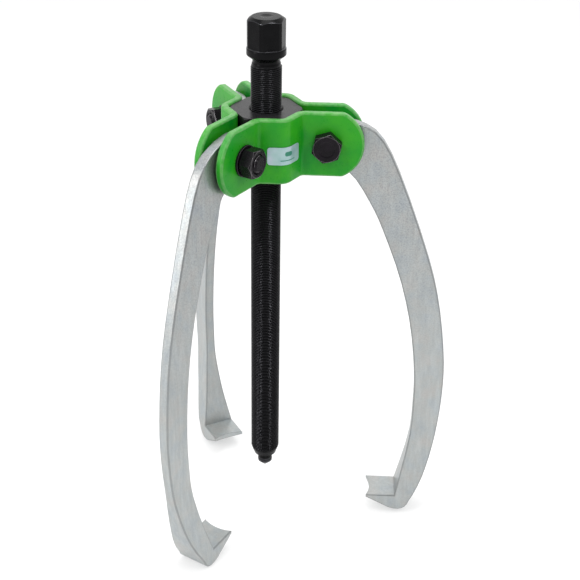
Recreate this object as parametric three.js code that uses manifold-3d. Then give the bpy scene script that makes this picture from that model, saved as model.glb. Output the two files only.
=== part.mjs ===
// Three-arm gear puller. Millimetres, +Z up along the spindle.
// The origin is the centre of the flat on top of the spindle's hex head.
import * as THREE from 'three';
import * as BufferGeometryUtils from 'three/addons/utils/BufferGeometryUtils.js';
import Module from 'manifold-3d';

// Shared
const GAP = 0.3;
const DEG = Math.PI / 180;
const ROUND = 48;
const SMALL_ROUND = 32;
const OVERCUT = 1;
const CUTTER_HALF = 40;
const WELD = 1e-4;
const STRAIGHT = 1e-6;
const ARM_ANGLES = [0, 120, 240];
const PLATE_ANGLES = [60, 180, 300];

// Spindle, M24 x 1.5, all lengths measured down from the head's top face
const HEAD_FLATS = 27;
const HEAD_TURNED_R = 14.8;
const HEAD_TOP_R = 11.2;
const HEAD_CHAMFER = 2.5;
const HEAD_CORNER = 19;
const HEX_LENGTH = 23.5;
const COLLAR_R = 15.2;
const COLLAR_TOP_R = 14;
const COLLAR_SLOPE = 2.2;
const COLLAR_END = 29.3;
const TAPER_END = 32.8;
const NECK_R = 10.6;
const NECK_BLEND = [0.6, 0.8];
const NECK_END = 34.8;
const THREAD_R = 12;
const THREAD_START = 36.4;
const THREAD_END = 386;
const SHANK_END_R = 9.7;
const SHANK_END = 392.8;

// Pressure tip and thrust ball
const TIP_R = 6.2;
const TIP_BORE_DEPTH = 24;
const BALL_R = 4;
const TIP_CYLINDER_END = 402.8;
const TIP_POINT_R = 0.9;
const TIP_POINT_END = 407.9;

// Hub nut
const HUB_TOP = 72;
const HUB_HEIGHT = 51;
const HUB_FLATS = 50.2;
const HUB_TURNED_R = 28.4;
const HUB_CHAMFER = 1;
const RIB_FLATS = 55.2;
const RIB_TURNED_R = 29.8;
const RIB_HEIGHT = 8;
const MOUTH_R = 13.6;

// Bent plates
const PLATE_T = 6;
const PLATE_TOP = 70.5;
const PLATE_HEIGHT = 52;
const BOLT_CIRCLE_R = 47.6;
const PLATE_END_R = 28.8;
const PLATE_END_STEPS = 18;
const PLATE_REACH = BOLT_CIRCLE_R + PLATE_END_R;
const PLATE_BEND_R = 7;
const BEND_STEPS = 6;
const PIVOT_DOWN = PLATE_TOP + PLATE_HEIGHT / 2;

// Hook arms, points given from the eye's centre: outward, upward
const ARM_T = 8.5;
const EYE_R = 18.7;
const EYE_OFFSET = 1.4;
const ARM_OUTER = [[0, 18.7], [19, 16.4], [39.2, 5.1], [57.2, -28.7], [82.9, -98.7], [94.4, -142.6],
  [101, -187.9], [102.4, -220], [100.6, -255], [96.2, -286], [89.2, -314], [79.5, -336]];
const ARM_INNER = [[4.8, -18.1], [20, -29.5], [35, -53.9], [44.7, -74.8], [60.5, -117.5],
  [71.4, -161.8], [77.3, -207.6], [78, -239], [76.4, -275], [66.3, -330]];
const EYE_END_ANGLE = 285;
const EYE_STEPS = 18;
const OUTER_STEPS = 30;
const INNER_STEPS = 24;
const CLAW_TIP = [41.2, -330];
const CLAW_TIP_T = 3;
const CLAW_TIP_SLOPE = 0.3;
const HEEL_START = [62, -344];
const HEEL_CORNER = [76.5, -348.5];
const CLAW_W = 27.9;
const CLAW_SCOOP = 3.2;
const SCOOP_ROUND = 96;
const HEEL_STEPS = 6;
const FLARE = [[4.25, -245], [4.75, -262], [8.2, -296], [11.4, -316], [13.95, -329.5]];
const FLARE_BOTTOM = -360;
const FLARE_STEPS = 8;
const ARM_REST = [0, -2.14, -3.33];

// Pivot bolts, M14, with nuts and washers, and spacers between arms and plates
const BOLT_R = 7;
const BOLT_HOLE_R = 7.3;
const BOLT_CHAMFER = 1;
const HEX_FLATS = 21;
const HEAD_HEIGHT = 8.8;
const NUT_HEIGHT = 10.5;
const WASHER_R = 12.4;
const WASHER_T = 1.8;
const THREAD_PROUD = 0.8;
const SPACER_R = 12;
const SPACER_T = 2;
const HEX_CHAMFER = 1.1;
const HEX_FACE_INSET = 0.2;
const BOLT_CORNER = 17;
const NUT_CORNERS = [8, 47, 6];

// Label on the front plate, wrapping its middle bend
const LABEL_ANGLE = 300;
const LABEL_T = 0.4;
const LABEL_WIDTH = 30.5;
const LABEL_HEIGHT = 14.2;
const LABEL_CENTRE = PLATE_TOP + 28.5;

const PLATE_INNER = HUB_FLATS / 2 + GAP;
const PLATE_MID = PLATE_INNER + PLATE_T / 2;
const SPACER_START = ARM_T / 2 + GAP;
const PLATE_OFFSET = SPACER_START + SPACER_T + GAP + PLATE_T / 2;
const PLATE_FACE = PLATE_OFFSET + PLATE_T / 2;

const paint = new THREE.MeshStandardMaterial({ color: 0x2f9e2b, roughness: 0.35, metalness: 0.0 });
const zinc = new THREE.MeshStandardMaterial({ color: 0xb0b5b3, roughness: 0.5, metalness: 0.9 });
const oxide = new THREE.MeshStandardMaterial({ color: 0x1c1d1f, roughness: 0.45, metalness: 0.8 });
const film = new THREE.MeshStandardMaterial({ color: 0xc3d8d6, roughness: 0.3, metalness: 0.3 });

const wasm = await Module();
wasm.setup();

const group = new THREE.Group();

function solid(geometry) {
  const bare = geometry.clone();
  bare.deleteAttribute('normal');
  bare.deleteAttribute('uv');
  const merged = BufferGeometryUtils.mergeVertices(bare, WELD);
  return new wasm.Manifold(new wasm.Mesh({
    numProp: 3,
    vertProperties: new Float32Array(merged.attributes.position.array),
    triVerts: new Uint32Array(merged.index.array),
  }));
}

function addPart(name, body, material) {
  const data = body.getMesh();
  const geometry = new THREE.BufferGeometry();
  geometry.setAttribute('position', new THREE.BufferAttribute(new Float32Array(data.vertProperties), 3));
  geometry.setIndex(new THREE.BufferAttribute(new Uint32Array(data.triVerts), 1));
  const flat = geometry.toNonIndexed();
  flat.computeVertexNormals();
  const mesh = new THREE.Mesh(flat, material);
  mesh.name = name;
  group.add(mesh);
}

function polar(radius, degrees) {
  return new THREE.Vector2(radius * Math.cos(degrees * DEG), radius * Math.sin(degrees * DEG));
}

function arcPoints(centre, radius, from, to, steps) {
  const points = [];
  for (let i = 0; i <= steps; i += 1) {
    points.push(polar(radius, from + (to - from) * i / steps).add(centre));
  }
  return points;
}

function splinePoints(pairs, steps) {
  const curve = new THREE.SplineCurve(pairs.map(([x, y]) => new THREE.Vector2(x, y)));
  return curve.getPoints(steps);
}

function extruded(points, depth) {
  return new THREE.ExtrudeGeometry(new THREE.Shape(points), { depth, bevelEnabled: false, steps: 1 });
}

// A lathe body about Z from [radius, height] pairs that start and end on the axis
function turned(profile, segments = ROUND) {
  return solid(new THREE.LatheGeometry(profile.map(([r, z]) => new THREE.Vector2(r, z)), segments)
    .rotateX(Math.PI / 2));
}

// A lathe body about Z whose closed profile stays off the axis
function turnedRing(profile, segments = ROUND) {
  return turned([...profile, profile[0]], segments);
}

// A hexagonal prism about Z with a corner at the given angle, from height z0 to z1
function hexPrism(flats, z0, z1, corner = 0) {
  const points = [];
  for (let i = 0; i < 6; i += 1) {
    points.push(polar(flats / 2 / Math.cos(30 * DEG), corner + 60 * i));
  }
  return solid(extruded(points, z1 - z0).translate(0, 0, z0));
}

// A hexagonal prism cut by a turned, chamfered envelope
function chamferedHex(flats, z0, z1, turnedR, endR, chamfer, bothEnds, corner = 0) {
  const lowR = bothEnds ? endR : turnedR;
  const lowZ = bothEnds ? z0 + chamfer : z0;
  const envelope = turned([[0, z0], [lowR, z0], [turnedR, lowZ + 0.01], [turnedR, z1 - chamfer],
    [endR, z1], [0, z1]]);
  return hexPrism(flats, z0, z1, corner).intersect(envelope);
}

// Maps a body modelled about local axes onto a pivot: local X outward, local Y up, local Z sideways
function atPivot(body, armAngle, swing) {
  const angle = armAngle * DEG;
  const outward = new THREE.Vector3(Math.cos(angle), Math.sin(angle), 0);
  const up = new THREE.Vector3(0, 0, 1);
  const sideways = new THREE.Vector3().crossVectors(outward, up);
  const matrix = new THREE.Matrix4().makeBasis(outward, up, sideways);
  const pivot = outward.clone().multiplyScalar(BOLT_CIRCLE_R).setZ(-PIVOT_DOWN);
  matrix.setPosition(pivot);
  const swung = new THREE.Matrix4().makeRotationZ(swing * DEG);
  return body.transform(matrix.multiply(swung).elements);
}

// Spindle
const shaft = turned([[0, -HEX_LENGTH], [COLLAR_TOP_R, -HEX_LENGTH], [COLLAR_R, -HEX_LENGTH - COLLAR_SLOPE],
  [COLLAR_R, -COLLAR_END], [NECK_R + NECK_BLEND[0], -TAPER_END], [NECK_R, -TAPER_END - NECK_BLEND[1]],
  [NECK_R, -NECK_END], [THREAD_R, -THREAD_START], [THREAD_R, -THREAD_END],
  [SHANK_END_R, -SHANK_END], [TIP_R + GAP, -SHANK_END],
  [TIP_R + GAP, -SHANK_END + TIP_BORE_DEPTH], [0, -SHANK_END + TIP_BORE_DEPTH]].reverse());
const hexHead = chamferedHex(HEAD_FLATS, -HEX_LENGTH - OVERCUT, 0, HEAD_TURNED_R, HEAD_TOP_R, HEAD_CHAMFER,
  false, HEAD_CORNER);
addPart('spindle', hexHead.add(shaft), oxide);

const ballCentre = -SHANK_END + TIP_BORE_DEPTH - GAP - BALL_R;
addPart('thrust_ball', solid(new THREE.SphereGeometry(BALL_R, 20, 12).translate(0, 0, ballCentre)), oxide);

const tipTop = ballCentre - BALL_R - GAP;
addPart('pressure_tip', turned([[0, -TIP_POINT_END], [TIP_POINT_R, -TIP_POINT_END],
  [TIP_R, -TIP_CYLINDER_END], [TIP_R, tipTop], [0, tipTop]]), oxide);

// Hub nut
const hubBottom = -HUB_TOP - HUB_HEIGHT;
const hubMiddle = -HUB_TOP - HUB_HEIGHT / 2;
const hubBody = chamferedHex(HUB_FLATS, hubBottom, -HUB_TOP, HUB_TURNED_R, HUB_TURNED_R - HUB_CHAMFER,
  HUB_CHAMFER, true);
const rib = (extra) => hexPrism(RIB_FLATS + 2 * extra, hubMiddle - RIB_HEIGHT / 2 - extra,
  hubMiddle + RIB_HEIGHT / 2 + extra).intersect(turned([[0, hubBottom], [RIB_TURNED_R + extra, hubBottom],
  [RIB_TURNED_R + extra, -HUB_TOP], [0, -HUB_TOP]]));
const boreR = THREAD_R + GAP;
const hubBore = turned([[0, hubBottom - OVERCUT], [MOUTH_R + OVERCUT, hubBottom - OVERCUT],
  [boreR, hubBottom + MOUTH_R - boreR], [boreR, -HUB_TOP - MOUTH_R + boreR],
  [MOUTH_R + OVERCUT, -HUB_TOP + OVERCUT], [0, -HUB_TOP + OVERCUT]]);
addPart('hub_nut', hubBody.add(rib(0)).subtract(hubBore), oxide);

// Offsets a bent line by a signed distance, with round bends
function bentEdge(corners, bends, offset) {
  const points = [];
  for (let i = 0; i < corners.length; i += 1) {
    const here = corners[i];
    const before = corners[i - 1] ?? here.clone().multiplyScalar(2).sub(corners[i + 1]);
    const after = corners[i + 1] ?? here.clone().multiplyScalar(2).sub(corners[i - 1]);
    const into = here.clone().sub(before).normalize();
    const out = after.clone().sub(here).normalize();
    const turn = into.x * out.y - into.y * out.x;
    const leftIn = new THREE.Vector2(-into.y, into.x);
    if (Math.abs(turn) < STRAIGHT) {
      points.push(here.clone().addScaledVector(leftIn, offset));
    } else {
      const side = Math.sign(turn);
      const bend = Math.acos(into.dot(out));
      const start = here.clone().addScaledVector(into, -bends[i] * Math.tan(bend / 2));
      const centre = start.clone().addScaledVector(leftIn, side * bends[i]);
      const radius = bends[i] - side * offset;
      const from = Math.atan2(-side * leftIn.y, -side * leftIn.x) / DEG;
      points.push(...arcPoints(centre, radius, from, from + side * bend / DEG, BEND_STEPS));
    }
  }
  return points;
}

// The plate's middle line in plan, symmetric about +X, from one end to the other
function plateLine(reach) {
  const along = polar(1, 60);
  const side = new THREE.Vector2(along.y, -along.x);
  const flank = polar(PLATE_MID, 30);
  const bendMiddle = new THREE.Vector2(PLATE_MID / Math.cos(30 * DEG), 0);
  const flat = new THREE.Vector2(-Math.sin(30 * DEG), Math.cos(30 * DEG));
  const slope = flank.clone().sub(side.clone().multiplyScalar(PLATE_OFFSET));
  const travel = (side.dot(slope)) / -side.dot(flat);
  const corner = flank.clone().addScaledVector(flat, travel);
  const end = along.clone().multiplyScalar(reach).addScaledVector(side, PLATE_OFFSET);
  const upper = [end, corner];
  const lower = upper.map((p) => new THREE.Vector2(p.x, -p.y)).reverse();
  return [...upper, bendMiddle, ...lower];
}

const plateBends = [0, PLATE_BEND_R, PLATE_BEND_R, PLATE_BEND_R, 0];
const plateCorners = plateLine(PLATE_REACH);
const plateOutline = [...bentEdge(plateCorners, plateBends, PLATE_T / 2),
  ...bentEdge(plateCorners, plateBends, -PLATE_T / 2).reverse()];
const plateBlank = solid(extruded(plateOutline, PLATE_HEIGHT).translate(0, 0, -PLATE_TOP - PLATE_HEIGHT));

// A slab that rounds one plate end about its bolt hole and leaves the rest of the plate
const halfPlate = PLATE_HEIGHT / 2;
const endAngle = Math.asin(halfPlate / PLATE_END_R) / DEG;
const endProfile = [new THREE.Vector2(-4 * PLATE_REACH, -halfPlate),
  new THREE.Vector2(-4 * PLATE_REACH, halfPlate),
  ...arcPoints(new THREE.Vector2(0, 0), PLATE_END_R, endAngle, -endAngle, PLATE_END_STEPS)].reverse();
const endSlab = solid(extruded(endProfile, 6 * PLATE_REACH).translate(0, 0, -3 * PLATE_REACH));
const boltHole = turned([[0, -CUTTER_HALF], [BOLT_HOLE_R, -CUTTER_HALF], [BOLT_HOLE_R, CUTTER_HALF],
  [0, CUTTER_HALF]], SMALL_ROUND);

const ribGroove = rib(GAP);
for (const angle of PLATE_ANGLES) {
  let plate = plateBlank.rotate([0, 0, angle]).subtract(ribGroove);
  for (const arm of [angle - 60, angle + 60]) {
    plate = plate.intersect(atPivot(endSlab, arm, 0)).subtract(atPivot(boltHole, arm, 0));
  }
  addPart(`plate_${angle}`, plate, paint);
}

// Hook arms
const armOutline = [
  ...arcPoints(new THREE.Vector2(0, 0), EYE_R, 90, EYE_END_ANGLE, EYE_STEPS),
  ...splinePoints(ARM_INNER, INNER_STEPS).slice(1),
  new THREE.Vector2(...CLAW_TIP),
  new THREE.Vector2(CLAW_TIP[0] + CLAW_TIP_SLOPE, CLAW_TIP[1] - CLAW_TIP_T),
  ...new THREE.QuadraticBezierCurve(new THREE.Vector2(...HEEL_START), new THREE.Vector2(...HEEL_CORNER),
    new THREE.Vector2(...ARM_OUTER[ARM_OUTER.length - 1])).getPoints(HEEL_STEPS),
  ...splinePoints(ARM_OUTER, OUTER_STEPS).reverse().slice(1, -1),
];
const armBlank = solid(extruded(armOutline, CLAW_W).translate(0, 0, -CLAW_W / 2));
const flareHalf = splinePoints(FLARE, FLARE_STEPS);
const flareRight = [new THREE.Vector2(FLARE[0][0], CUTTER_HALF), ...flareHalf,
  new THREE.Vector2(CLAW_W / 2, FLARE_BOTTOM)];
const flareLeft = flareRight.map((p) => new THREE.Vector2(-p.x, p.y)).reverse();
const flareOutline = [...flareRight, ...flareLeft].reverse();
const flareBlock = solid(extruded(flareOutline, 4 * EYE_R + CLAW_W * 4).rotateY(Math.PI / 2)
  .translate(-2 * EYE_R, 0, 0));
const scoopR = (CLAW_W * CLAW_W / 4 + CLAW_SCOOP * CLAW_SCOOP) / 2 / CLAW_SCOOP;
const scoop = turned([[0, -CUTTER_HALF], [scoopR, -CUTTER_HALF], [scoopR, CUTTER_HALF],
  [0, CUTTER_HALF]], SCOOP_ROUND)
  .rotate([90, 0, 0]).translate([CLAW_TIP[0] + CLAW_SCOOP - scoopR, CLAW_TIP[1], 0]);
const armBody = armBlank.intersect(flareBlock).subtract(scoop).translate([EYE_OFFSET, 0, 0])
  .subtract(boltHole);
ARM_ANGLES.forEach((angle, i) => {
  addPart(`arm_${angle}`, atPivot(armBody, angle, ARM_REST[i]), zinc);
});

// Pivot bolts, nuts and washers, modelled along Z with the head at the high end
const seat = PLATE_FACE + GAP;
const washerEnd = seat + WASHER_T;
const nutSeat = washerEnd + GAP;
const nutEnd = nutSeat + NUT_HEIGHT;
const boltEnd = nutEnd + THREAD_PROUD;
const hexEndR = HEX_FLATS / 2 - HEX_FACE_INSET;
const hexCornerR = HEX_FLATS / 2 / Math.cos(30 * DEG);
const boltHead = chamferedHex(HEX_FLATS, seat, seat + HEAD_HEIGHT, hexCornerR, hexEndR, HEX_CHAMFER, false,
  BOLT_CORNER);
const boltShank = turned([[0, -boltEnd], [BOLT_R - BOLT_CHAMFER, -boltEnd],
  [BOLT_R, BOLT_CHAMFER - boltEnd], [BOLT_R, seat + OVERCUT], [0, seat + OVERCUT]], SMALL_ROUND);
const boltBody = boltHead.add(boltShank);
const disc = (radius, z0, z1) => turnedRing([[BOLT_HOLE_R, z0], [radius, z0], [radius, z1],
  [BOLT_HOLE_R, z1]], SMALL_ROUND);
const washerBody = disc(WASHER_R, -washerEnd, -seat);
const headSpacer = disc(SPACER_R, SPACER_START, SPACER_START + SPACER_T);
const nutSpacer = disc(SPACER_R, -SPACER_START - SPACER_T, -SPACER_START);
ARM_ANGLES.forEach((angle, i) => {
  const nutBody = chamferedHex(HEX_FLATS, -nutEnd, -nutSeat, hexCornerR, hexEndR, HEX_CHAMFER, true,
    NUT_CORNERS[i]).subtract(boltHole);
  addPart(`pivot_bolt_${angle}`, atPivot(boltBody, angle, 0), oxide);
  addPart(`head_spacer_${angle}`, atPivot(headSpacer, angle, 0), oxide);
  addPart(`nut_spacer_${angle}`, atPivot(nutSpacer, angle, 0), oxide);
  addPart(`nut_washer_${angle}`, atPivot(washerBody, angle, 0), oxide);
  addPart(`nut_${angle}`, atPivot(nutBody, angle, 0), oxide);
});

// Label
const labelMid = PLATE_INNER + PLATE_T + GAP + LABEL_T / 2;
const labelBend = PLATE_BEND_R + PLATE_T / 2 + GAP + LABEL_T / 2;
const labelCorner = new THREE.Vector2(labelMid / Math.cos(30 * DEG), 0);
const labelEnd = new THREE.Vector2(-Math.sin(30 * DEG), Math.cos(30 * DEG)).multiplyScalar(LABEL_WIDTH / 2)
  .add(labelCorner);
const labelLine = [labelEnd, labelCorner, new THREE.Vector2(labelEnd.x, -labelEnd.y)];
const labelOutline = [...bentEdge(labelLine, [0, labelBend, 0], LABEL_T / 2),
  ...bentEdge(labelLine, [0, labelBend, 0], -LABEL_T / 2).reverse()];
addPart('label', solid(extruded(labelOutline, LABEL_HEIGHT)
  .translate(0, 0, -LABEL_CENTRE - LABEL_HEIGHT / 2)).rotate([0, 0, LABEL_ANGLE]), film);

export default group;
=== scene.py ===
import math

import bmesh
import bpy
from mathutils import Matrix, Vector


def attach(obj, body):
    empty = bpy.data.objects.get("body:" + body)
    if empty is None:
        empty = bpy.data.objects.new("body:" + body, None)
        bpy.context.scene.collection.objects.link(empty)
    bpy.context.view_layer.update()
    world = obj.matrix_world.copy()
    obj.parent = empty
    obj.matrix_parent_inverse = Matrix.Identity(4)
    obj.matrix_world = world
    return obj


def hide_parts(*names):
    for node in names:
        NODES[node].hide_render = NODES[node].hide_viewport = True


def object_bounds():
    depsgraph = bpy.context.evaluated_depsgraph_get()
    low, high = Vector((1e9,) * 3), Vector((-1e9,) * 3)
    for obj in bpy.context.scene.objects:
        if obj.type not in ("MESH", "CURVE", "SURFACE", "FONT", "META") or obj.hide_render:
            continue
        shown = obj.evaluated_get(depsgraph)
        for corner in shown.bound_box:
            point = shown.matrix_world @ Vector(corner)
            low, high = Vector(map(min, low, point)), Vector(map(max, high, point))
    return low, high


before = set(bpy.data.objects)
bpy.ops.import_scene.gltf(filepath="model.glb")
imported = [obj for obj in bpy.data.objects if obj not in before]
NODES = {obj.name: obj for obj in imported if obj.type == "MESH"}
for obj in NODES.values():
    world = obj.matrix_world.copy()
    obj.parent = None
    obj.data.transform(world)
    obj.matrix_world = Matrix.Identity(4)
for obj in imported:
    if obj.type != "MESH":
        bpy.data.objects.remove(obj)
cad_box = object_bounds()

MM = 0.001
ARM_ANGLES = (0, 120, 240)
PLATE_ANGLES = (60, 180, 300)

# Heights, radii and lengths in the frame, in millimetres
PIVOT_R = 47.6
PIVOT_Z = -96.5
PLATE_FACE = 12.85
GROOVE_Z = -97.5
PITCH = 1.5
GAP = 0.3

# Points round a turned piece
ROUND = [10 * i for i in range(36)]

# Camera, found from the photograph's view; the place is in millimetres, the angles in degrees
CAMERA_AT = (61.9, -882.0, 257.4)
CAMERA_HEADING = 2.74
CAMERA_PITCH = 26.77
CAMERA_ROLL = 0.77
CAMERA_LENS = 75.88
CAMERA_SHIFT = (0.0, -0.08)
SENSOR_WIDTH = 36

# Studio, in metres and watts: softboxes as (name, place, aimed at, size, power)
SOFTBOXES = (
    ("top", (0.1, 0.1, 1.3), (0, 0, -0.2), (0.8, 0.8), 8),
    ("left", (-1.2, -0.6, 0.24), (0, 0, -0.1), (0.45, 1.1), 6),
    ("strip_left", (-0.52, -0.66, 0.85), (0, 0, -0.15), (0.15, 0.7), 4.2),
    ("strip_right", (0.62, -0.60, 0.85), (0, 0, -0.15), (0.15, 0.7), 4.2),
)
SKY_FRONT = -0.6
SKY_BACK = 0.7
SKY_STRENGTH_FRONT = 0.52
SKY_STRENGTH_BACK = 1.25
FLOOR_HALF = 12
FLOOR_GAP = 0.0003


def rad(degrees):
    return math.radians(degrees)


# ---------------------------------------------------------------- materials


class Nodes:
    """A material's node tree, with short calls for the nodes used here."""

    def __init__(self, name):
        self.material = bpy.data.materials.new(name)
        self.material.use_nodes = True
        self.tree = self.material.node_tree
        self.shader = self.tree.nodes["Principled BSDF"]
        self.coords = self.add("ShaderNodeTexCoord").outputs["Object"]

    def add(self, kind, **settings):
        node = self.tree.nodes.new(kind)
        for key, value in settings.items():
            setattr(node, key, value)
        return node

    def link(self, source, target):
        self.tree.links.new(source, target)

    def put(self, **values):
        for key, value in values.items():
            self.shader.inputs[key.replace("_", " ")].default_value = value

    def edge(self):
        """1 on rounded edges, 0 elsewhere, from edge_layer: worn bare steel on the black parts, painted
        shade on the zinc arms and painted highlight on the green plates.
        """
        return self.add("ShaderNodeAttribute", attribute_name="edge").outputs["Fac"]

    def noise(self, per_metre, detail=4, rough=0.55, source=None):
        """Noise with that many features in a metre, on the piece's own coordinates."""
        node = self.add("ShaderNodeTexNoise")
        node.inputs["Scale"].default_value = per_metre
        node.inputs["Detail"].default_value = detail
        node.inputs["Roughness"].default_value = rough
        self.link(source or self.coords, node.inputs["Vector"])
        return node.outputs["Fac"]

    def math(self, operation, a, b):
        node = self.add("ShaderNodeMath", operation=operation)
        for socket, value in zip(node.inputs, (a, b)):
            if isinstance(value, (int, float)):
                socket.default_value = value
            else:
                self.link(value, socket)
        return node.outputs[0]

    def spread(self, source, low, high, to_low, to_high):
        """Maps low to high onto to_low to to_high, and holds what lies beyond."""
        node = self.add("ShaderNodeMapRange", clamp=True)
        for key, value in (("From Min", low), ("From Max", high), ("To Min", to_low), ("To Max", to_high)):
            node.inputs[key].default_value = value
        self.link(source, node.inputs["Value"])
        return node.outputs["Result"]

    def ramp(self, source, stops):
        node = self.add("ShaderNodeValToRGB")
        elements = node.color_ramp.elements
        while len(elements) < len(stops):
            elements.new(0.5)
        for element, (position, colour) in zip(elements, stops):
            element.position = position
            element.color = (*colour, 1)
        self.link(source, node.inputs["Fac"])
        return node.outputs["Color"]

    def mix(self, factor, a, b, blend="MIX"):
        node = self.add("ShaderNodeMix", data_type="RGBA", blend_type=blend)
        for socket, value in ((node.inputs[0], factor), (node.inputs[6], a), (node.inputs[7], b)):
            if isinstance(value, tuple):
                socket.default_value = (*value, 1)
            elif isinstance(value, (int, float)):
                socket.default_value = value
            else:
                self.link(value, socket)
        return node.outputs[2]

    def bump(self, height, distance, strength, after=None):
        node = self.add("ShaderNodeBump")
        node.inputs["Distance"].default_value = distance
        node.inputs["Strength"].default_value = strength
        self.link(height, node.inputs["Height"])
        if after:
            self.link(after, node.inputs["Normal"])
        return node.outputs["Normal"]

    def finish(self, colour=None, roughness=None, normal=None):
        for source, key in ((colour, "Base Color"), (roughness, "Roughness"), (normal, "Normal")):
            if source:
                self.link(source, self.shader.inputs[key])
        return self.material


def green_enamel():
    n = Nodes("green_enamel")
    patches = n.noise(38, 5)
    colour = n.ramp(patches, [(0.35, (0.003, 0.250, 0.016)), (0.65, (0.030, 0.330, 0.010))])
    # Painted highlight: upward-facing faces, as if lit from above, and the rounded edges are paled towards
    # (0.24, 0.40, 0.20), in patches.
    up = n.add("ShaderNodeSeparateXYZ")
    n.link(n.add("ShaderNodeNewGeometry").outputs["Normal"], up.inputs[0])
    painted_highlight = n.math("MAXIMUM", n.spread(up.outputs["Z"], 0.3, 0.95, 0, 0.6),
                  n.math("MULTIPLY", n.edge(), 0.45))
    painted_highlight = n.math("MULTIPLY", painted_highlight, n.spread(n.noise(300, 6), 0.3, 0.7, 0.2, 1))
    colour = n.mix(painted_highlight, colour, (0.24, 0.40, 0.20))
    rough = n.spread(n.noise(420, 4), 0.3, 0.7, 0.26, 0.36)
    peel = n.bump(n.noise(480, 2), 0.0002, 0.25)
    runs = n.bump(n.noise(55, 2), 0.0008, 0.2, after=peel)
    n.put(Specular_IOR_Level=0.22)
    return n.finish(colour, rough, runs)


def zinc_plate():
    n = Nodes("zinc_plate")
    grain = n.noise(900, 5, 0.65)
    blotch = n.noise(70, 5, 0.6)
    tint = n.ramp(blotch, [(0.35, (0.350, 0.378, 0.392)), (0.5, (0.380, 0.397, 0.392)),
                           (0.65, (0.402, 0.400, 0.388))])
    height = n.add("ShaderNodeSeparateXYZ")
    n.link(n.coords, height.inputs[0])
    upper = n.spread(height.outputs["Z"], -0.30, -0.16, 0.25, 0.75)
    lengthwise = n.add("ShaderNodeMapping")
    lengthwise.inputs["Scale"].default_value = (1, 1, 0.12)
    n.link(n.coords, lengthwise.inputs["Vector"])
    streaks = n.noise(340, 4, 0.6, source=lengthwise.outputs["Vector"])
    tint = n.mix(n.spread(streaks, 0.42, 0.7, 0, 0.4), tint, (0.50, 0.53, 0.53))
    speckle = n.ramp(grain, [(0.38, (0.66, 0.66, 0.70)), (0.56, (1, 1, 1))])
    colour = n.mix(1.0, tint, n.mix(upper, (1.07, 1.07, 1.07), speckle), blend="MULTIPLY")
    # Painted shade: the rounded arm edges are darkened towards (0.16, 0.17, 0.17) as a shaded crease line.
    colour = n.mix(n.math("MULTIPLY", n.edge(), 0.45), colour, (0.16, 0.17, 0.17))
    rough = n.spread(n.noise(800, 5, 0.65), 0.3, 0.7, 0.28, 0.44)
    fine = n.bump(grain, 0.00016, 0.5)
    forged = n.bump(streaks, 0.0003, 0.25, after=fine)
    hammered = n.bump(n.noise(230, 3, 0.5), 0.0004, 0.16, after=forged)
    n.put(Metallic=0.8, Specular_IOR_Level=0.5)
    return n.finish(colour, rough, hammered)


def black_oxide(name, dark, light, rough, gloss, bare_steel):
    n = Nodes(name)
    blotch = n.noise(170, 6, 0.6)
    colour = n.ramp(blotch, [(0.3, dark), (0.7, light)])
    roughness = n.spread(n.noise(600, 5), 0.3, 0.7, rough - 0.05, rough + 0.07)
    edge_mark = n.math("MULTIPLY", n.edge(), n.spread(n.noise(420, 5), 0.35, 0.6, 0.65, 1.0))
    colour = n.mix(edge_mark, colour, bare_steel)
    n.link(edge_mark, n.shader.inputs["Metallic"])
    fine = n.bump(n.noise(1500, 4, 0.6), 0.00005, 0.15)
    n.put(Specular_IOR_Level=gloss)
    return n.finish(colour, roughness, fine)


def ball_steel():
    n = Nodes("ball_steel")
    colour = n.ramp(n.noise(400, 3), [(0.3, (0.50, 0.51, 0.53)), (0.7, (0.60, 0.61, 0.62))])
    rough = n.spread(n.noise(900, 4), 0.3, 0.7, 0.12, 0.22)
    n.put(Metallic=1.0)
    return n.finish(colour, rough, n.bump(n.noise(1200, 2), 0.00003, 0.2))


def label_film():
    n = Nodes("label_film")
    sheen = n.noise(60, 3, 0.5)
    colour = n.ramp(sheen, [(0.3, (0.22, 0.40, 0.40)), (0.45, (0.34, 0.50, 0.50)),
                            (0.58, (0.42, 0.52, 0.58)), (0.7, (0.58, 0.58, 0.66))])
    rough = n.spread(n.noise(800, 3), 0.3, 0.7, 0.28, 0.4)
    n.put(Metallic=0.25)
    return n.finish(colour, rough, n.bump(n.noise(900, 2), 0.00003, 0.2))


def label_ink():
    n = Nodes("label_ink")
    colour = n.ramp(n.noise(900, 4), [(0.35, (0.01, 0.16, 0.10)), (0.65, (0.02, 0.22, 0.13))])
    rough = n.spread(n.noise(800, 3), 0.3, 0.7, 0.35, 0.5)
    return n.finish(colour, rough, n.bump(n.noise(1400, 2), 0.00002, 0.3))


def studio_floor():
    n = Nodes("studio_floor")
    colour = n.ramp(n.noise(3, 3), [(0.3, (0.49, 0.49, 0.49)), (0.7, (0.51, 0.51, 0.51))])
    rough = n.spread(n.noise(40, 3), 0.3, 0.7, 0.75, 0.85)
    n.put(Specular_IOR_Level=0.1, Emission_Color=(1, 1, 1, 1), Emission_Strength=0.5)
    return n.finish(colour, rough)


PAINT = green_enamel()
ZINC = zinc_plate()
SPINDLE_BLACK = black_oxide("spindle_black", (0.002, 0.002, 0.0025), (0.004, 0.004, 0.0045), 0.24, 0.085,
                            (0.055, 0.055, 0.06))
FASTENER_BLACK = black_oxide("fastener_black", (0.003, 0.0025, 0.0035), (0.009, 0.006, 0.010), 0.26, 0.13,
                             (0.20, 0.19, 0.20))
HUB_BLACK = black_oxide("hub_black", (0.008, 0.008, 0.009), (0.020, 0.019, 0.021), 0.30, 0.26,
                        (0.05, 0.05, 0.05))
BALL = ball_steel()
FILM = label_film()
INK = label_ink()


# ---------------------------------------------------------------- mesh tools


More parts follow.
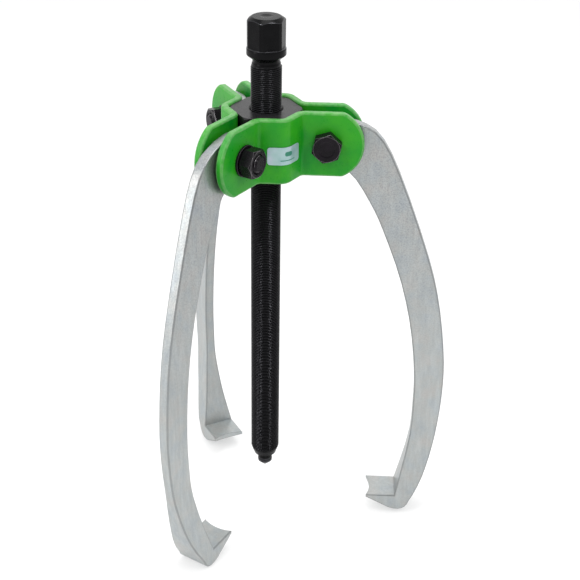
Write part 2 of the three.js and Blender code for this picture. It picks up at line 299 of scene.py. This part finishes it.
def add_piece(name, bm, material, body, stands_for=()):
    """Makes the object, in metres, from a mesh in millimetres, and ties it to the frame."""
    bmesh.ops.recalc_face_normals(bm, faces=bm.faces)
    mesh = bpy.data.meshes.new(name)
    bm.to_mesh(mesh)
    bm.free()
    mesh.transform(Matrix.Scale(MM, 4))
    mesh.materials.append(material)
    mesh.shade_smooth()
    piece = bpy.data.objects.new(name, mesh)
    bpy.context.scene.collection.objects.link(piece)
    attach(piece, body)
    if stands_for:
        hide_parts(*stands_for)
    return piece


def even_normals(piece, sharp):
    """Flat faces shade flat; edges bent by sharp degrees or more stay hard."""
    piece.data.set_sharp_from_angle(angle=rad(sharp))
    modifier = piece.modifiers.new("even_normals", "WEIGHTED_NORMAL")
    modifier.keep_sharp = True
    modifier.weight = 60


def edge_layer(bm):
    """The face layer that the materials read: 1 on rounded edges, 0 elsewhere. On black parts it is worn
    bare steel, on the zinc arms painted shade, on the green plates painted highlight.
    """
    return bm.faces.layers.float.get("edge") or bm.faces.layers.float.new("edge")


# Faces of the CAD mesh that bend by less than this, in degrees, are joined to one flat face
FLAT_LIMIT = 0.6


def from_cad(node, weld=0.002):
    """The CAD node's mesh in millimetres, welded and with its flat faces joined."""
    bm = bmesh.new()
    bm.from_mesh(NODES[node].data)
    bmesh.ops.scale(bm, vec=(1 / MM,) * 3, verts=bm.verts)
    bmesh.ops.remove_doubles(bm, verts=bm.verts, dist=weld)
    bmesh.ops.dissolve_limit(bm, angle_limit=rad(FLAT_LIMIT), verts=bm.verts, edges=bm.edges)
    return bm


def round_edges(bm, width, segments, over, wanted, edge_mark=1.0, clamp=True):
    """Bevels the edges bent by over degrees or more for which wanted(edge) holds. The new faces
    carry the given mark in the edge layer: worn bare steel on black parts, painted shade on the
    zinc arms, painted highlight on the green plates."""
    layer = edge_layer(bm)
    edges = [e for e in bm.edges if len(e.link_faces) == 2
             and e.calc_face_angle(0) > rad(over) and wanted(e)]
    made = bmesh.ops.bevel(bm, geom=edges, offset=width, offset_type="OFFSET", segments=segments,
                           profile=0.5, affect="EDGES", clamp_overlap=clamp)
    for face in made["faces"]:
        face[layer] = edge_mark


def ring(bm, angles, radius, z):
    """One ring of points; radius and z may be numbers or functions of the angle in degrees."""
    points = []
    for a in angles:
        r = radius(a) if callable(radius) else radius
        height = z(a) if callable(z) else z
        points.append(bm.verts.new((r * math.cos(rad(a)), r * math.sin(rad(a)), height)))
    return points


def bridge(bm, upper, lower, edge=0.0):
    """Joins two rings; edge is the value the faces carry in the edge layer."""
    layer = edge_layer(bm)
    for i in range(len(upper)):
        j = (i + 1) % len(upper)
        bm.faces.new((upper[i], upper[j], lower[j], lower[i]))[layer] = edge


def fan(bm, points, z):
    centre = bm.verts.new((0, 0, z))
    for i in range(len(points)):
        bm.faces.new((points[i], points[(i + 1) % len(points)], centre))


def loft(bm, angles, rows, top, bottom, edge_mark=()):
    """A closed shell through rows of (radius, z), with its ends drawn to points on the axis. The
    bands below the rows numbered in bare are worn edges."""
    rings = [ring(bm, angles, r, z) for r, z in rows]
    for k, (upper, lower) in enumerate(zip(rings, rings[1:])):
        bridge(bm, upper, lower, float(k in edge_mark))
    fan(bm, rings[0], top)
    fan(bm, rings[-1], bottom)


def hex_angles(flats, turned_r, corner, flat_steps, arc_steps):
    """Angles round a hexagon whose corners are turned off, with every edge of a flat hit."""
    half = math.degrees(math.acos(min(1, flats / 2 / turned_r)))
    half = min(half, 30)
    angles = []
    for k in range(6):
        centre = corner + 30 + 60 * k
        angles += [centre - half + 2 * half * i / flat_steps for i in range(flat_steps)]
        angles += [centre + half + (60 - 2 * half) * i / arc_steps for i in range(arc_steps)]
    return angles


def hex_radius(flats, turned_r, corner):
    def radius(a):
        off = (a - corner) % 60 - 30
        return min(turned_r, flats / 2 / math.cos(rad(off)))
    return radius


# Threads: the facet on the crest's upper edge, the profile's band that it makes, and the plain
# length past each end in pitches
CREST_FACET = 0.13
WORN_BAND = 2
RUN_OUT = 0.3


def thread(bm, steps, pitch, crest, root, top, bottom, taper):
    """A right-hand thread with real flanks, closed at its top. The radius at a height is held under
    taper(z), and the thread grows out of its root over the first turn. Returns the ring at its foot."""
    turns = int((top - bottom) / pitch)
    count = turns * steps
    profile = ((0.0, root), (0.22, root), (0.40, crest - CREST_FACET), (0.50, crest), (0.74, crest))

    def point(i, k):
        offset, radius = profile[k]
        z = top - pitch * (i / steps + offset)
        grown = min(1, i / steps)
        r = min(root + (radius - root) * grown, taper(z))
        a = -2 * math.pi * i / steps
        return bm.verts.new((r * math.cos(a), r * math.sin(a), z))

    layer = edge_layer(bm)
    grid = [[point(i, k) for k in range(len(profile))] for i in range(count + 1)]
    for i in range(count):
        for k in range(len(profile) - 1):
            face = bm.faces.new((grid[i][k], grid[i][k + 1], grid[i + 1][k + 1], grid[i + 1][k]))
            face[layer] = float(k == WORN_BAND)
    for i in range(count - steps):
        bm.faces.new((grid[i][-1], grid[i + steps][0], grid[i + steps + 1][0], grid[i + 1][-1]))
    around = [-360 * i / steps for i in range(steps)]
    head = ring(bm, around, root, top + RUN_OUT * pitch)
    for i in range(steps - 1):
        bm.faces.new((head[i], head[i + 1], grid[i + 1][0], grid[i][0]))
    bm.faces.new((head[-1], head[0], *grid[0], grid[steps][0], grid[steps - 1][0]))
    fan(bm, head, top + RUN_OUT * pitch)
    low = grid[count][-1].co.z - RUN_OUT * pitch
    foot = ring(bm, around, min(root, taper(low)), low)
    last = count - steps
    for i in range(1, steps):
        j = (i + 1) % steps
        bm.faces.new((grid[last + i][-1], grid[last + i + 1][-1], foot[j], foot[i]))
    bm.faces.new((grid[last][-1], grid[last + 1][-1], foot[1], foot[0], *reversed(grid[count])))
    return foot


# ---------------------------------------------------------------- spindle

HEAD_FLATS = 27
HEAD_TURNED_R = 14.8
HEAD_TOP_R = 11.2
HEAD_CHAMFER = 2.5
HEAD_CORNER = 19
HEAD_CHAMFER_END = -3.4
FLAT_END = -21.0
COLLAR_R = 15.2
DIMPLE_DEPTH = 0.6
HEAD_DIMPLE = ((1.0, -0.58), (3.0, -0.4), (4.2, -0.12), (4.7, -0.02), (5.2, 0))
HEAD_FACE_RIM = ((HEAD_TOP_R - 0.5, 0), (HEAD_TOP_R - 0.15, -0.03), (HEAD_TOP_R + 0.2, -0.18))
COLLAR = ((COLLAR_R - 0.35, -23.75), (COLLAR_R - 0.05, -24.4), (COLLAR_R, -25), (COLLAR_R, -28.6),
          (COLLAR_R - 0.12, -29.1), (COLLAR_R - 0.5, -29.5))
NECK = ((11.6, -32.0), (11, -32.5), (10.7, -33.0), (10.6, -33.6), (10.6, -34.8), (10.9, -35.6),
        (11.05, -36.4))
# Worn edges, as the numbers of the rows above them
HEAD_BARE = (8, 15, 16)
FILLET_STEPS = 5
FILLET_HEIGHT = 2.4
FILLET_R = 14.2
THREAD_STEPS = 40
THREAD_R = 12
THREAD_ROOT = 11.08
THREAD_TOP = -36.2
TAPER_START = -386.0
SHANK_END = -392.8
SHANK_END_R = 9.7
THREAD_END = SHANK_END + 0.7
BORE_R = 6.5
BORE_DEPTH = 24
BORE_TOP = SHANK_END + BORE_DEPTH
BALL_R = 4
BALL_Z = BORE_TOP - GAP - BALL_R
TIP_TOP = BALL_Z - BALL_R - GAP
TIP_END = -407.9
TIP_R = 6.2


def spindle():
    bm = bmesh.new()
    angles = hex_angles(HEAD_FLATS, HEAD_TURNED_R, HEAD_CORNER, flat_steps=10, arc_steps=4)
    side = hex_radius(HEAD_FLATS, HEAD_TURNED_R, HEAD_CORNER)

    def chamfer_z(a):
        return -HEAD_CHAMFER * (side(a) - HEAD_TOP_R) / (HEAD_TURNED_R - HEAD_TOP_R)

    def fillet_r(a, turn):
        return side(a) + (max(side(a) + 0.1, FILLET_R) - side(a)) * (1 - math.cos(turn))

    rows = [*HEAD_DIMPLE, *HEAD_FACE_RIM,
            (lambda a: side(a) - 0.3, lambda a: chamfer_z(a) + 0.21), (side, lambda a: chamfer_z(a) - 0.22),
            (side, HEAD_CHAMFER_END), (side, FLAT_END)]
    for step in range(1, FILLET_STEPS + 1):
        turn = rad(90 * step / FILLET_STEPS)
        rows.append((lambda a, t=turn: fillet_r(a, t), FLAT_END - FILLET_HEIGHT * math.sin(turn)))
    rows += [*COLLAR, *NECK]
    loft(bm, angles, rows, top=-DIMPLE_DEPTH, bottom=NECK[-1][1], edge_mark=HEAD_BARE)

    def end_taper(z):
        past = max(0, TAPER_START - z)
        return THREAD_R - past * (THREAD_R - SHANK_END_R) / (TAPER_START - SHANK_END)

    foot = thread(bm, THREAD_STEPS, PITCH, THREAD_R, THREAD_ROOT, THREAD_TOP, THREAD_END, end_taper)
    end_rows = [(SHANK_END_R + 0.1, SHANK_END + 0.3), (SHANK_END_R - 0.2, SHANK_END),
                (BORE_R + 0.15, SHANK_END), (BORE_R, SHANK_END + 0.3), (BORE_R, BORE_TOP)]
    around = [-360 * i / THREAD_STEPS for i in range(THREAD_STEPS)]
    rings = [foot] + [ring(bm, around, r, z) for r, z in end_rows]
    for upper, lower in zip(rings, rings[1:]):
        bridge(bm, upper, lower)
    fan(bm, rings[-1], BORE_TOP)
    piece = add_piece("spindle_black", bm, SPINDLE_BLACK, "screw", ["spindle"])
    even_normals(piece, sharp=20)


spindle()

# ---------------------------------------------------------------- plates

# Edges in these zones stay sharp: round the pivot axes, where the spacers sit, and in the groove
# that holds the hub's rib
BOLT_ZONE_R = 9
GROOVE_ZONE_R = 31.5
GROOVE_ZONE_HALF = 6
PLATE_ROUNDING = 1.7


def pivot_frame(arm_angle, swing=0):
    """From an arm's own axes (outward, up, sideways) at its pivot to the frame, in millimetres."""
    outward = Vector((math.cos(rad(arm_angle)), math.sin(rad(arm_angle)), 0))
    up = Vector((0, 0, 1))
    axes = Matrix((outward, up, outward.cross(up))).transposed().to_4x4()
    return Matrix.Translation(outward * PIVOT_R + up * PIVOT_Z) @ axes @ Matrix.Rotation(rad(swing), 4, "Z")


def near_axis(edge, to_pivot, limit):
    """True if the edge lies within limit of the pivot axis."""
    return all((to_pivot @ v.co).xy.length < limit for v in edge.verts)


def plate(angle):
    bm = from_cad(f"plate_{angle}")
    pivots = [pivot_frame(angle + turn).inverted() for turn in (-60, 60)]

    def hole(edge):
        return any(near_axis(edge, pivot, BOLT_ZONE_R) for pivot in pivots)

    def groove(edge):
        return all(v.co.xy.length < GROOVE_ZONE_R and abs(v.co.z - GROOVE_Z) < GROOVE_ZONE_HALF
                   for v in edge.verts)

    # The rounded plate edges carry mark 1 in the edge layer, which the green enamel paints as a pale
    # highlight.
    round_edges(bm, PLATE_ROUNDING, segments=4, over=25, wanted=lambda e: not hole(e) and not groove(e))
    piece = add_piece(f"plate_green_{angle}", bm, PAINT, "head", [f"plate_{angle}"])
    even_normals(piece, sharp=40)


for angle in PLATE_ANGLES:
    plate(angle)

# ---------------------------------------------------------------- arms

# How far each arm rests from the right arm's position, in degrees, outward counted up
ARM_REST = {0: 0, 120: -2.14, 240: -3.33}
# The claw's tip lies inside these, counted from the pivot outward and up
TIP_ZONE_OUT = 49
TIP_ZONE_TOP = -300
ARM_ROUNDING = 1.2
CLAW_ROUNDING = 0.35
ARM_WELD = 0.05


def arm(angle):
    bm = from_cad(f"arm_{angle}", weld=ARM_WELD)
    to_arm = pivot_frame(angle, ARM_REST[angle]).inverted()

    def at_tip(edge):
        places = [to_arm @ v.co for v in edge.verts]
        return all(place.x < TIP_ZONE_OUT and place.y < TIP_ZONE_TOP for place in places)

    def along_arm(edge):
        return edge.is_convex and not near_axis(edge, to_arm, BOLT_ZONE_R) and not at_tip(edge)

    # The rounded arm and claw edges carry mark 1 in the edge layer, which the zinc material darkens as
    # painted shade.
    round_edges(bm, CLAW_ROUNDING, segments=2, over=50, wanted=lambda e: e.is_convex and at_tip(e))
    round_edges(bm, ARM_ROUNDING, segments=3, over=25, wanted=along_arm, clamp=False)
    piece = add_piece(f"arm_zinc_{angle}", bm, ZINC, f"arm_{angle}_body", [f"arm_{angle}"])
    even_normals(piece, sharp=30)


for angle in ARM_ANGLES:
    arm(angle)

# ---------------------------------------------------------------- bolts and nuts

HEX_FLATS = 21
HEX_FACE_R = 10.2
HEX_CORNER_R = HEX_FLATS / 2 / math.cos(rad(30))
HEX_CHAMFER_SLOPE = 0.577

BOLT_R = 7
BOLT_ROOT = 5.8
BOLT_PITCH = 2.0
BOLT_CORNER = 17
BOLT_HEAD_HEIGHT = 8.8
BOLT_OVERHANG = 0.8
BOLT_END_CHAMFER = 1.2
DISH_DEPTH = 0.45

NUT_HEIGHT = 10.5
NUT_BORE_R = 7.35
NUT_MOUTH_R = 8.2
NUT_MOUTH_DEPTH = 0.85
NUT_CORNERS = {0: 8, 120: 47, 240: 6}
NUT_WASHER_T = 1.8

# Worn edges, as the numbers of the rows above them
BOLT_BARE = (5, 7)
NUT_BARE = (2, 4)

WASHER_ROUNDING = 0.35
SPACER_ROUNDING = 0.3
WASHER_BARE = 0.15

# Places along the pivot axis, counted from the arm's middle towards the bolt's head
HEAD_SEAT = PLATE_FACE + GAP
HEAD_FACE = HEAD_SEAT + BOLT_HEAD_HEIGHT
NUT_SEAT = -PLATE_FACE - GAP - NUT_WASHER_T - GAP
NUT_FACE = NUT_SEAT - NUT_HEIGHT
BOLT_END = NUT_FACE - BOLT_OVERHANG


def hex_edge(face_z, side, inward):
    """Rows of a chamfered hexagon's end, from the face's rim out to the flats."""
    def fall(a):
        return HEX_CHAMFER_SLOPE * (side(a) - HEX_FACE_R)

    return [(HEX_FACE_R - 0.5, face_z), (HEX_FACE_R - 0.1, lambda a: face_z + inward * 0.03),
            (HEX_FACE_R + 0.12, lambda a: face_z + inward * 0.14),
            (lambda a: side(a) - 0.12, lambda a: face_z + inward * (fall(a) + 0.02)),
            (side, lambda a: face_z + inward * (fall(a) + 0.2))]


def bolt(angle):
    bm = bmesh.new()
    angles = hex_angles(HEX_FLATS, HEX_CORNER_R, BOLT_CORNER, flat_steps=10, arc_steps=0)
    side = hex_radius(HEX_FLATS, HEX_CORNER_R, BOLT_CORNER)
    dish = [(1.0, HEAD_FACE - DISH_DEPTH), (5.8, HEAD_FACE - 0.42), (6.5, HEAD_FACE - 0.1),
            (7.0, HEAD_FACE)]
    under = [(side, HEAD_SEAT + 0.9), (side, HEAD_SEAT + 0.25), (lambda a: side(a) - 0.25, HEAD_SEAT),
             (BOLT_R, HEAD_SEAT)]
    rows = dish + hex_edge(HEAD_FACE, side, -1) + under
    loft(bm, angles, rows, top=HEAD_FACE - DISH_DEPTH, bottom=HEAD_SEAT, edge_mark=BOLT_BARE)
    shank = [(BOLT_R, HEAD_SEAT + 1), (BOLT_R, NUT_SEAT + 1), (BOLT_ROOT + 0.05, NUT_SEAT)]
    loft(bm, ROUND, shank, top=HEAD_SEAT + 1, bottom=NUT_SEAT)

    def end_taper(z):
        return BOLT_R - max(0, BOLT_END + BOLT_END_CHAMFER - z)

    foot = thread(bm, len(ROUND), BOLT_PITCH, BOLT_R, BOLT_ROOT, NUT_SEAT, BOLT_END, end_taper)
    fan(bm, foot, foot[0].co.z)
    bm.transform(pivot_frame(angle))
    piece = add_piece(f"pivot_bolt_black_{angle}", bm, FASTENER_BLACK, "head",
                      [f"pivot_bolt_{angle}"])
    even_normals(piece, sharp=20)


def nut(angle):
    bm = bmesh.new()
    angles = hex_angles(HEX_FLATS, HEX_CORNER_R, NUT_CORNERS[angle], flat_steps=10, arc_steps=0)
    side = hex_radius(HEX_FLATS, HEX_CORNER_R, NUT_CORNERS[angle])
    outer = [(NUT_MOUTH_R, NUT_FACE)] + hex_edge(NUT_FACE, side, 1)
    outer += [(r, (lambda a, z=z: NUT_SEAT + NUT_FACE - (z(a) if callable(z) else z)))
              for r, z in reversed(outer)]
    inner = [(NUT_BORE_R, NUT_SEAT - NUT_MOUTH_DEPTH), (NUT_BORE_R, NUT_FACE + NUT_MOUTH_DEPTH)]
    rings = [ring(bm, angles, r, z) for r, z in outer + inner]
    for k, (upper, lower) in enumerate(zip(rings, rings[1:] + rings[:1])):
        bridge(bm, upper, lower, float(k in NUT_BARE))
    bm.transform(pivot_frame(angle))
    piece = add_piece(f"nut_black_{angle}", bm, FASTENER_BLACK, "head", [f"nut_{angle}"])
    even_normals(piece, sharp=20)


def washer(node, width):
    bm = from_cad(node)
    round_edges(bm, width, segments=2, over=25, wanted=lambda e: True, edge_mark=WASHER_BARE)
    piece = add_piece(f"{node}_black", bm, FASTENER_BLACK, "head", [node])
    even_normals(piece, sharp=40)


for angle in ARM_ANGLES:
    bolt(angle)
    nut(angle)
    washer(f"nut_washer_{angle}", WASHER_ROUNDING)
    washer(f"head_spacer_{angle}", SPACER_ROUNDING)
    washer(f"nut_spacer_{angle}", SPACER_ROUNDING)

# ---------------------------------------------------------------- hub and tip

HUB_ROUNDING = 0.8
HUB_BARE = 0.3
TIP_SHOULDER = TIP_END + 5.1
TIP_GROOVE_DEPTH = 0.35
TIP_BARE = (3, 5)


def hub():
    bm = from_cad("hub_nut")
    round_edges(bm, HUB_ROUNDING, segments=2, over=20, wanted=lambda e: e.is_convex, edge_mark=HUB_BARE)
    piece = add_piece("hub_nut_black", bm, HUB_BLACK, "head", ["hub_nut"])
    even_normals(piece, sharp=30)


def tip():
    bm = bmesh.new()
    groove_r = TIP_R - TIP_GROOVE_DEPTH
    rows = [(TIP_R - 0.3, TIP_TOP), (TIP_R, TIP_TOP - 0.3), (TIP_R, TIP_SHOULDER + 4.2),
            (groove_r, TIP_SHOULDER + 3.9), (groove_r, TIP_SHOULDER + 2.6), (TIP_R, TIP_SHOULDER + 2.3),
            (TIP_R, TIP_SHOULDER + 0.3), (TIP_R - 0.12, TIP_SHOULDER + 0.02),
            (TIP_R - 0.4, TIP_SHOULDER - 0.3), (1.15, TIP_END + 0.3), (0.9, TIP_END + 0.1), (0.6, TIP_END)]
    loft(bm, ROUND, rows, top=TIP_TOP, bottom=TIP_END, edge_mark=TIP_BARE)
    piece = add_piece("pressure_tip_black", bm, SPINDLE_BLACK, "tip", ["pressure_tip"])
    even_normals(piece, sharp=20)


def ball():
    bm = bmesh.new()
    bmesh.ops.create_icosphere(bm, subdivisions=4, radius=BALL_R)
    bm.transform(Matrix.Translation((0, 0, BALL_Z)))
    add_piece("thrust_ball_steel", bm, BALL, "tip", ["thrust_ball"])


hub()
tip()
ball()

# ---------------------------------------------------------------- label

LABEL_BEND_R = 10.3
LABEL_FACE = 31.7
LABEL_Z = -99.0
LABEL_ANGLE = 300
LABEL_HALF_WIDTH = 14.6
LABEL_HALF_HEIGHT = 7.1
LABEL_T = 0.4
INK_LOW = 0.38
INK_HIGH = 0.44
# Sheets as (left, right, lower, upper, corner radius), counted from the label's middle
FILM_SHEET = (-LABEL_HALF_WIDTH, LABEL_HALF_WIDTH, -LABEL_HALF_HEIGHT, LABEL_HALF_HEIGHT, 2.2)
INK_SHEETS = ((-1.2, 5.2, -0.2, 3.4, 1.7), (-4.6, 8.6, -3.9, -3.2, 0.3))


def on_plate(s, height, out):
    """A point on the front plate's middle bend: s along the surface, height up, out from it."""
    radius = LABEL_BEND_R + out
    centre = (LABEL_FACE - LABEL_BEND_R) / math.cos(rad(30))
    half_arc = LABEL_BEND_R * math.pi / 6
    bend = max(-half_arc, min(half_arc, s)) / LABEL_BEND_R
    beyond = s - bend * LABEL_BEND_R
    x = centre + radius * math.cos(bend) - beyond * math.sin(bend)
    y = radius * math.sin(bend) + beyond * math.cos(bend)
    turn = rad(LABEL_ANGLE)
    return (x * math.cos(turn) - y * math.sin(turn), x * math.sin(turn) + y * math.cos(turn),
            LABEL_Z + height)


def sticker(bm, s0, s1, z0, z1, corner, low, high):
    """A thin sheet with rounded corners that follows the plate's bend. It covers s0 to s1 along
    the surface and z0 to z1 in height, and reaches from low to high outward of the plate."""
    half = (z1 - z0) / 2
    rows = 14
    columns = 26
    levels = [math.sin(rad(-90 + 180 * j / rows)) for j in range(rows + 1)]

    def shrink(height):
        past = max(0, abs(height) - (half - corner))
        return corner - math.sqrt(max(0, corner * corner - past * past))

    def line(level, out):
        inset = shrink(level * half)
        width = s1 - s0 - 2 * inset
        height = (z0 + z1) / 2 + level * half
        return [bm.verts.new(on_plate(s0 + inset + width * i / columns, height, out))
                for i in range(columns + 1)]

    top, under = [[line(level, out) for level in levels] for out in (high, low)]
    for j in range(rows):
        for i in range(columns):
            bm.faces.new((top[j][i], top[j][i + 1], top[j + 1][i + 1], top[j + 1][i]))
            bm.faces.new((under[j][i], under[j + 1][i], under[j + 1][i + 1], under[j][i + 1]))
    rim = ([(0, i) for i in range(columns)] + [(j, columns) for j in range(rows)]
           + [(rows, i) for i in range(columns, 0, -1)] + [(j, 0) for j in range(rows, 0, -1)])
    for (j, i), (k, m) in zip(rim, rim[1:] + rim[:1]):
        bm.faces.new((top[j][i], under[j][i], under[k][m], top[k][m]))


def label():
    bm = bmesh.new()
    sticker(bm, *FILM_SHEET, 0.0, LABEL_T)
    film = add_piece("label_film", bm, FILM, "head", ["label"])
    even_normals(film, sharp=40)
    bm = bmesh.new()
    for sheet in INK_SHEETS:
        sticker(bm, *sheet, INK_LOW, INK_HIGH)
    ink = add_piece("label_bars", bm, INK, "head")
    even_normals(ink, sharp=40)


label()

# ---------------------------------------------------------------- studio


def look_at(obj, target):
    obj.rotation_euler = (Vector(target) - obj.location).to_track_quat("-Z", "Y").to_euler()


def softbox(name, at, target, size, watts):
    light = bpy.data.lights.new(name, "AREA")
    light.shape = "RECTANGLE"
    light.size, light.size_y = size
    light.energy = watts
    obj = bpy.data.objects.new(name, light)
    obj.location = at
    look_at(obj, target)
    obj.visible_camera = False
    bpy.context.scene.collection.objects.link(obj)


def studio():
    scene = bpy.context.scene
    scene.view_settings.view_transform = "Standard"
    world = bpy.data.worlds.new("studio")
    scene.world = world
    world.use_nodes = True
    tree = world.node_tree
    background = tree.nodes["Background"]
    direction = tree.nodes.new("ShaderNodeTexCoord")
    split = tree.nodes.new("ShaderNodeSeparateXYZ")
    ramp = tree.nodes.new("ShaderNodeMapRange")
    ramp.inputs["From Min"].default_value = SKY_FRONT
    ramp.inputs["From Max"].default_value = SKY_BACK
    ramp.inputs["To Min"].default_value = SKY_STRENGTH_FRONT
    ramp.inputs["To Max"].default_value = SKY_STRENGTH_BACK
    tree.links.new(direction.outputs["Generated"], split.inputs[0])
    tree.links.new(split.outputs["Y"], ramp.inputs["Value"])
    tree.links.new(ramp.outputs["Result"], background.inputs["Strength"])
    background.inputs["Color"].default_value = (1, 1, 1, 1)

    for settings in SOFTBOXES:
        softbox(*settings)

    bm = bmesh.new()
    bmesh.ops.create_grid(bm, x_segments=8, y_segments=8, size=FLOOR_HALF)
    floor_mesh = bpy.data.meshes.new("floor")
    bm.to_mesh(floor_mesh)
    bm.free()
    floor = bpy.data.objects.new("floor", floor_mesh)
    floor.location.z = cad_box[0].z - FLOOR_GAP
    floor_mesh.materials.append(studio_floor())
    scene.collection.objects.link(floor)

    camera = bpy.data.cameras.new("camera")
    camera.lens = CAMERA_LENS
    camera.sensor_width = SENSOR_WIDTH
    camera.shift_x, camera.shift_y = CAMERA_SHIFT
    camera.clip_start = 0.05
    camera.clip_end = 50
    holder = bpy.data.objects.new("camera", camera)
    turn = (Matrix.Rotation(rad(CAMERA_HEADING), 4, "Z") @ Matrix.Rotation(rad(90 - CAMERA_PITCH), 4, "X")
            @ Matrix.Rotation(rad(CAMERA_ROLL), 4, "Z"))
    holder.matrix_world = Matrix.Translation(Vector(CAMERA_AT) * MM) @ turn
    scene.collection.objects.link(holder)
    scene.camera = holder


studio()
